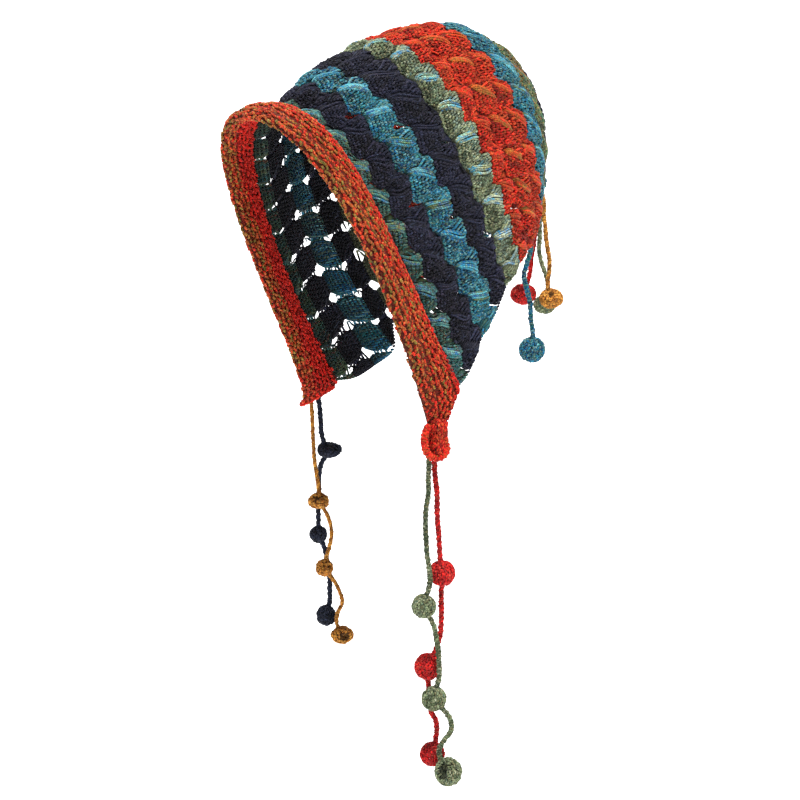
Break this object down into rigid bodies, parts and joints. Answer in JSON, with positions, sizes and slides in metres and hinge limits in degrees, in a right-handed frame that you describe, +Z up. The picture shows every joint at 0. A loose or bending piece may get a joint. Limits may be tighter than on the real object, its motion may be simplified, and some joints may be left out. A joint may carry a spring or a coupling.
{
  "type": "earflap knit hat",
  "caption": "Hand-knitted openwork hat with pointed earflaps, a thick rolled brim, hanging ball ties on the flaps and short ball cords at the gathered crown.",
  "frame": {"origin": "where the top of the wearer's head seats inside the crown, on the hat's middle plane", "axes": "+Z up, -Y the way the face looks, +X the wearer's left side"},
  "size_m": [0.1655, 0.2811, 0.517],
  "materials": {
    "moss_yarn": "green and teal marled wool knit",
    "charcoal_yarn": "charcoal navy wool knit",
    "teal_yarn": "teal marled wool knit",
    "sage_yarn": "sage green wool knit and cord",
    "red_yarn": "red and orange marled wool knit",
    "olive_yarn": "olive and red marled wool knit",
    "brim_yarn": "red, orange and olive marled purl knit",
    "mustard_yarn": "mustard wool cord",
    "navy_yarn": "dark navy wool cord",
    "scarlet_yarn": "scarlet wool cord"
  },
  "bodies": {
    "root": {"knit_moss": "moss_yarn", "knit_charcoal_front": "charcoal_yarn", "knit_teal_front": "teal_yarn", "knit_charcoal_middle": "charcoal_yarn", "knit_sage": "sage_yarn", "knit_red_crown": "red_yarn", "knit_teal_crown": "teal_yarn", "knit_olive_crown": "olive_yarn", "knit_charcoal_crown": "charcoal_yarn", "knit_red_back": "red_yarn", "knit_teal_back": "teal_yarn", "brim_band": "brim_yarn", "left_flap_knot": "red_yarn", "crown_knot": "teal_yarn", "left_red_cord_1": "scarlet_yarn", "left_red_ball_1": "scarlet_yarn", "left_red_cord_2": "scarlet_yarn", "left_red_ball_2": "scarlet_yarn", "left_red_cord_3": "scarlet_yarn", "left_red_ball_3": "scarlet_yarn", "left_sage_cord_1": "sage_yarn", "left_sage_ball_1": "sage_yarn", "left_sage_cord_2": "sage_yarn", "left_sage_ball_2": "sage_yarn", "left_sage_cord_3": "sage_yarn", "left_sage_ball_3": "sage_yarn", "right_mustard_cord_1": "mustard_yarn", "right_mustard_ball_1": "mustard_yarn", "right_mustard_cord_2": "mustard_yarn", "right_mustard_ball_2": "mustard_yarn", "right_mustard_cord_3": "mustard_yarn", "right_mustard_ball_3": "mustard_yarn", "right_navy_cord_1": "navy_yarn", "right_navy_ball_1": "navy_yarn", "right_navy_cord_2": "navy_yarn", "right_navy_ball_2": "navy_yarn", "right_navy_cord_3": "navy_yarn", "right_navy_ball_3": "navy_yarn", "crown_ochre_cord_1": "mustard_yarn", "crown_ochre_ball_1": "mustard_yarn", "crown_sage_cord_1": "sage_yarn", "crown_sage_ball_1": "sage_yarn", "crown_teal_cord_1": "teal_yarn", "crown_teal_ball_1": "teal_yarn", "crown_red_cord_1": "scarlet_yarn", "crown_red_ball_1": "scarlet_yarn"}
  },
  "joints": []
}
